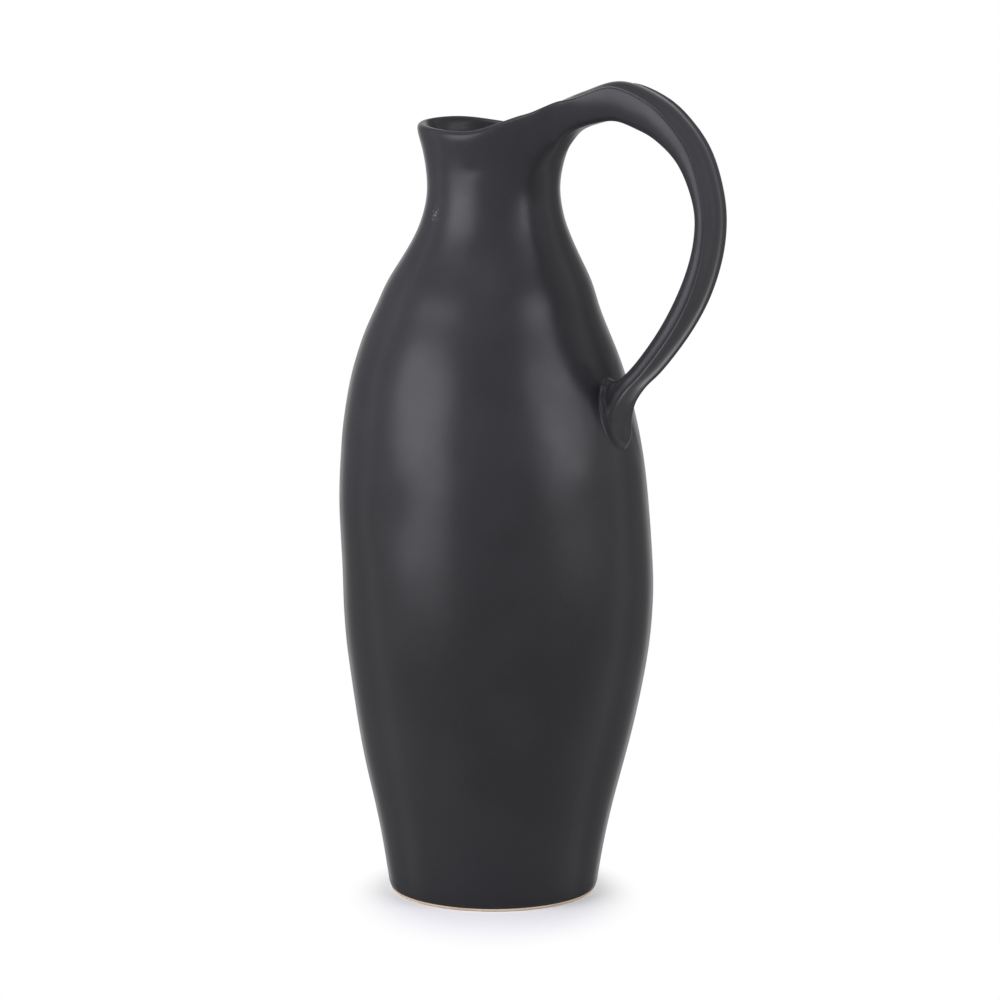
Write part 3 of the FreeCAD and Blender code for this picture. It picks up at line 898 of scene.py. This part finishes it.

# Glaze: its two cloud colours low on the jug and a lighter pair high on it, and where it goes from one pair
# to the other. The lighter upper glaze is painted light: fill light on the upper jug, painted into the
# colour
glaze_low_colours = ((0.0108, 0.0110, 0.0128), (0.0136, 0.0139, 0.0160))
glaze_painted_light_high_colours = ((0.0168, 0.0168, 0.0198), (0.0206, 0.0206, 0.0240))
painted_light_change_heights = (0.14, 0.36)
# What is laid over it: (colour, strength)
glaze_grain_look = ((0.030, 0.029, 0.028), 0.35)
pool_look = ((0.010, 0.010, 0.011), 0.3)
# Over edges the glaze is browner where it runs thin, and lighter as a painted highlight along rims and
# arrises
thin_glaze_and_highlight_look = ((0.048, 0.044, 0.041), 0.75)
# A few small pale pits in it, on the neck
fleck_colour = (0.16, 0.16, 0.17)
fleck_place = (-0.0150, -0.0310, 0.353)
fleck_reach = 0.005
# It is rougher at a glance than seen straight on, and smooth again at the very edge
glaze_roughness = (0.31, 0.37)
glancing_range = (0.2, 0.55)
edge_range = (0.62, 0.92)
edge_roughness = (0.7, 0.24)
glaze_peel_depth = 0.00003
glaze_tooth_depth = 0.000012
glaze_gloss = 0.2

clay_colours = ((0.50, 0.38, 0.26), (0.60, 0.49, 0.36))
dark_grain_look = ((0.24, 0.16, 0.10), 0.6)
pale_grain_look = ((0.72, 0.63, 0.50), 0.5)
clay_roughness = (0.80, 0.95)
clay_grit_depth = 0.00012
clay_gloss = 0.3


def glaze_material():
    """Charcoal satin glaze: softly clouded, lighter higher up as painted light, browner and lighter over
    edges where the glaze thins and as a painted highlight, and darker where it pools.
    """
    shader = Shader("satin_charcoal_glaze")
    clouds = shader.pattern(*glaze_clouds)
    low, high = shader.mixed(clouds, *glaze_low_colours), shader.mixed(clouds, *glaze_painted_light_high_colours)
    height = shader.add("ShaderNodeSeparateXYZ", {"Vector": shader.place}).outputs["Z"]
    # The glaze turns lighter higher up: painted light, standing in for fill light on the upper jug
    colour = shader.mixed(shader.spread(height, *painted_light_change_heights), low, high)
    for share, (over, strength) in (
        (shader.pattern(*glaze_grain), glaze_grain_look),
        (shader.mark("pool"), pool_look),
        # Edge mark: browner thin glaze, and partly a painted highlight along rims and arrises
        (shader.mark("thin_glaze_and_highlight"), thin_glaze_and_highlight_look),
    ):
        colour = shader.laid(colour, over, share, strength)
    beside = shader.add("ShaderNodeVectorMath", {0: shader.place, 1: fleck_place}, operation="DISTANCE")
    near = shader.spread(beside.outputs["Value"], fleck_reach, 0.0)
    colour = shader.laid(colour, fleck_colour, near, shader.pattern(*glaze_flecks))
    satin = shader.spread(shader.noise(*glaze_mottle), *mottle_range, *glaze_roughness)
    facing = shader.add("ShaderNodeLayerWeight", {"Blend": 0.5}).outputs["Facing"]
    glancing = shader.spread(facing, *glancing_range)
    edge = shader.spread(facing, *edge_range, *edge_roughness)
    roughness = shader.math("MAXIMUM", satin, shader.math("MULTIPLY", glancing, edge))
    peel = shader.bump(shader.noise(*glaze_peel), glaze_peel_depth)
    tooth = shader.bump(shader.noise(*glaze_tooth), glaze_tooth_depth, peel)
    return shader.finish(colour, roughness, tooth, glaze_gloss)


def clay_material():
    """Bare fired clay: buff, dry and grainy, with small dark and pale grains."""
    shader = Shader("bare_buff_clay")
    colour = shader.mixed(shader.pattern(*clay_clouds), *clay_colours)
    for grains, (over, strength) in (
        (clay_dark_grains, dark_grain_look),
        (clay_pale_grains, pale_grain_look),
    ):
        colour = shader.laid(colour, over, shader.pattern(*grains), strength)
    roughness = shader.spread(shader.noise(*clay_mottle), *mottle_range, *clay_roughness)
    grit = shader.bump(shader.noise(*clay_grit), clay_grit_depth)
    return shader.finish(colour, roughness, grit, clay_gloss)


def make_pieces():
    glaze, clay = glaze_material(), clay_material()
    points, quads, piece_of_quad = jug_cage().surface()
    quads, piece_of_quad = quads[piece_of_quad >= 0], piece_of_quad[piece_of_quad >= 0]
    points = softened(points, quads)
    points = uneven(points, point_normals(points, quads))
    normals = point_normals(points, quads)
    # The edge mark is partly thin glaze and partly a painted highlight along edges
    thin_glaze_and_highlight, pool = edge_and_hollow(points, quads, normals)
    marks = {"thin_glaze_and_highlight": thin_glaze_and_highlight, "pool": pool}

    cut = {
        name: Piece(points, quads[piece_of_quad == number], normals, marks)
        for number, name in enumerate(pieces)
    }
    close_foot(cut["foot_ring"])
    close_lower_wall(cut["lower_wall"])
    close_ring_piece(cut["shoulder_wall"])
    close_ring_piece(cut["neck"])
    for name in ("handle_root", "handle_strap", "handle_terminal"):
        for loop in cut[name].loops:
            cut[name].fan(loop)
    for name, piece in cut.items():
        bare = name == "foot_ring"
        made = piece.make("jug_" + name, clay if bare else glaze)
        dress(made, name)
    dress(floor_disc(clay, glaze), "floor_disc")


def dress(made, node):
    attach(made, "root")
    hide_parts(node)


def close_foot(piece):
    """The foot's hidden seam, its inner side and the ground face."""
    glaze_line = piece.loop_near(bare_edge_height, foot_radius)
    edge = foot_edge_round / 2.0
    last = glaze_line
    for radius, height in ((foot_inside, foot_height), (foot_inside, edge), (foot_inside + edge, 0.0)):
        inner = piece.add_level_loop(glaze_line, radius, height)
        piece.strip(last, inner)
        last = inner
    piece.strip_back(last, piece.loop_near(0.0, foot_radius))


def close_lower_wall(piece):
    """The lower wall's seams: at the belly, under the glaze and round the floor."""
    belly = piece.loop_near(belly_height, belly_radius)
    piece.strip_back(belly, piece.loop_near(belly_height, belly_radius - wall))
    glaze_line = piece.loop_near(bare_edge_height, foot_radius)
    outer = piece.add_level_loop(glaze_line, foot_inside, foot_height)
    inner = piece.add_level_loop(glaze_line, floor_radius, foot_height)
    piece.strip(glaze_line, outer)
    piece.strip(outer, inner)
    piece.strip_back(inner, piece.loop_near(floor_top, floor_radius))


# A border loop that rises and falls by less than this lies level
level_range = wall / 3.0


def close_ring_piece(piece):
    """Close the seams of a piece that has an outer and an inner border at each level end."""
    levels = []
    for loop in sorted(piece.loops, key=lambda loop: piece.place(loop)[:, 2].mean()):
        if np.ptp(piece.place(loop)[:, 2]) < level_range:
            levels.append(loop)
        else:
            piece.fan(loop)
    for pair in zip(levels[::2], levels[1::2]):
        inner, outer = sorted(pair, key=lambda loop: radii(piece.place(loop)).mean())
        piece.strip_back(outer, inner)


# Floor: rings from its edge in to its middle, how much closer they lie near the edge, how deep its middle
# is dished, and the share of that below
disc_rings = 24
disc_ring_power = 1.2
disc_dish = 0.0006
disc_under_share = 0.5


def floor_disc(clay, glaze):
    """The jug's floor: glazed inside with low throwing rings, bare and turned below."""
    count = column_count * 2 ** subdivision_levels
    turns = [k * math.tau / count for k in range(count)]
    ring_radii = [floor_radius * (1.0 - (k / disc_rings) ** disc_ring_power) for k in range(disc_rings)]
    clay_number, glaze_number = 0, 1
    points, faces, material = [], [], []

    def dish(radius):
        wave = 0.5 + 0.5 * math.cos(math.tau * radius / throwing_pitch)
        return disc_dish * (1.0 - radius / floor_radius) * wave

    def ring(radius, height):
        start = len(points)
        points.extend((radius * math.cos(a), radius * math.sin(a), height) for a in turns)
        return list(range(start, start + count))

    def join(first, second, number):
        for k in range(count):
            n = (k + 1) % count
            faces.append((first[k], first[n], second[n], second[k]))
            material.append(number)

    def close(last, height, number):
        points.append((0.0, 0.0, height))
        for k in range(count):
            faces.append((last[k], last[(k + 1) % count], len(points) - 1))
            material.append(number)

    upper = [ring(radius, floor_top - dish(radius)) for radius in ring_radii]
    for first, second in zip(upper, upper[1:]):
        join(first, second, glaze_number)
    close(upper[-1], floor_top - disc_dish, glaze_number)
    lower = [ring(radius, foot_height + dish(radius) * disc_under_share) for radius in ring_radii]
    join(lower[0], upper[0], clay_number)
    for first, second in zip(lower, lower[1:]):
        join(second, first, clay_number)
    close(lower[-1][::-1], foot_height + disc_dish * disc_under_share, clay_number)
    mesh = bpy.data.meshes.new("jug_floor_disc")
    mesh.from_pydata(points, [], faces)
    mesh.polygons.foreach_set("use_smooth", [True] * len(faces))
    mesh.materials.append(clay)
    mesh.materials.append(glaze)
    mesh.polygons.foreach_set("material_index", material)
    return add_object("jug_floor_disc", mesh)


# Camera
camera_azimuth = 30.0
camera_distance = 2.45
camera_height = 0.670
camera_aim_height = 0.205
lens = 175.41
sensor = 36.0
shift_x = 0.0067
shift_y = -0.0030

# Studio. What the camera sees behind the jug is white, and the world's own light is low
background_white = 1.0
ambient = 0.2
floor_half = 6.0
floor_colour = (0.93, 0.93, 0.93)
floor_roughness = 0.9
# The floor keeps the jug's shadow in an oval that faces the camera, and is white away from it: the oval's
# middle, its half sizes, and the shares of them between which the floor fades
shadow_middle = (0.0125, -0.0217)
shadow_size = (0.065, 0.085)
shadow_fade = (0.6, 1.2)
# Soft boxes: (degrees round from -Y towards +X, distance, height of the middle, width, length, watts)
lamp_colour = (0.94, 0.935, 1.0)
lamp_aim_height = 0.2
soft_boxes = {
    "left_box": (camera_azimuth - 56.0, 1.3, 0.50, 1.0, 1.0, 19.0),
    "right_box": (camera_azimuth + 59.0, 1.9, 0.78, 1.3, 1.1, 24.0),
    "top_box": (camera_azimuth - 10.0, 0.5, 2.2, 1.2, 1.2, 18.0),
}


def background_share(nodes, links):
    """1 for what the camera sees directly or in a gloss or through glass, and 0 for other light."""
    path = nodes.new("ShaderNodeLightPath")
    total = path.outputs["Is Camera Ray"]
    for name in ("Is Glossy Ray", "Is Transmission Ray"):
        add = nodes.new("ShaderNodeMath")
        add.operation = "MAXIMUM"
        links.new(total, add.inputs[0])
        links.new(path.outputs[name], add.inputs[1])
        total = add.outputs["Value"]
    return total


def make_world():
    world = bpy.data.worlds.new("studio")
    bpy.context.scene.world = world
    world.use_nodes = True
    nodes, links = world.node_tree.nodes, world.node_tree.links
    light = nodes["Background"]
    light.inputs["Color"].default_value = (1.0, 1.0, 1.0, 1.0)
    strength = nodes.new("ShaderNodeMapRange")
    strength.inputs["To Min"].default_value = ambient
    strength.inputs["To Max"].default_value = background_white
    links.new(background_share(nodes, links), strength.inputs["Value"])
    links.new(strength.outputs["Result"], light.inputs["Strength"])


def floor_material():
    """Pale floor that keeps the jug's shadow and fades to white away from it."""
    shader = Shader("pale_floor")
    nodes, links = shader.nodes, shader.links
    for name, value in (
        ("Base Color", floor_colour), ("Roughness", floor_roughness), ("Specular IOR Level", 0.0),
    ):
        shader.put(shader.surface.inputs[name], value)
    oval = {
        "Vector": shader.place,
        "Location": (*shadow_middle, 0.0),
        "Rotation": (0.0, 0.0, math.radians(camera_azimuth)),
        "Scale": (*shadow_size, 1.0),
    }
    turned = shader.add("ShaderNodeMapping", oval, vector_type="TEXTURE").outputs["Vector"]
    away = shader.add("ShaderNodeVectorMath", {0: turned}, operation="LENGTH").outputs["Value"]
    far = shader.spread(away, *shadow_fade)
    white = shader.add("ShaderNodeEmission", {"Strength": background_white})
    share = shader.math("MULTIPLY", far, background_share(nodes, links))
    parts = {"Fac": share, 1: shader.surface.outputs["BSDF"], 2: white.outputs["Emission"]}
    mix = shader.add("ShaderNodeMixShader", parts)
    links.new(mix.outputs["Shader"], nodes["Material Output"].inputs["Surface"])
    return shader.material


def make_floor():
    mesh = bpy.data.meshes.new("floor")
    corners = [(x * floor_half, y * floor_half, 0.0) for x, y in ((-1, -1), (1, -1), (1, 1), (-1, 1))]
    mesh.from_pydata(corners, [], [(0, 1, 2, 3)])
    mesh.materials.append(floor_material())
    add_object("floor", mesh)


def stand(thing, degrees, distance, height, aim_height):
    """Stand a thing round from -Y towards +X, facing a point on the axis."""
    turn = math.radians(degrees)
    thing.location = (math.sin(turn) * distance, -math.cos(turn) * distance, height)
    towards = Vector((0.0, 0.0, aim_height)) - thing.location
    thing.rotation_euler = towards.to_track_quat("-Z", "Y").to_euler()


def make_lights():
    for name, (degrees, distance, height, width, length, watts) in soft_boxes.items():
        light = bpy.data.lights.new(name, "AREA")
        light.shape = "RECTANGLE"
        light.size, light.size_y = width, length
        light.energy = watts
        light.color = lamp_colour
        stand(add_object(name, light), degrees, distance, height, lamp_aim_height)


def make_camera():
    data = bpy.data.cameras.new("camera")
    data.lens = lens
    data.sensor_width = sensor
    data.shift_x = shift_x
    data.shift_y = shift_y
    camera = add_object("camera", data)
    stand(camera, camera_azimuth, camera_distance, camera_height, camera_aim_height)
    bpy.context.scene.camera = camera
    bpy.context.scene.view_settings.view_transform = "Standard"


make_camera()
make_world()
make_floor()
make_lights()
make_pieces()
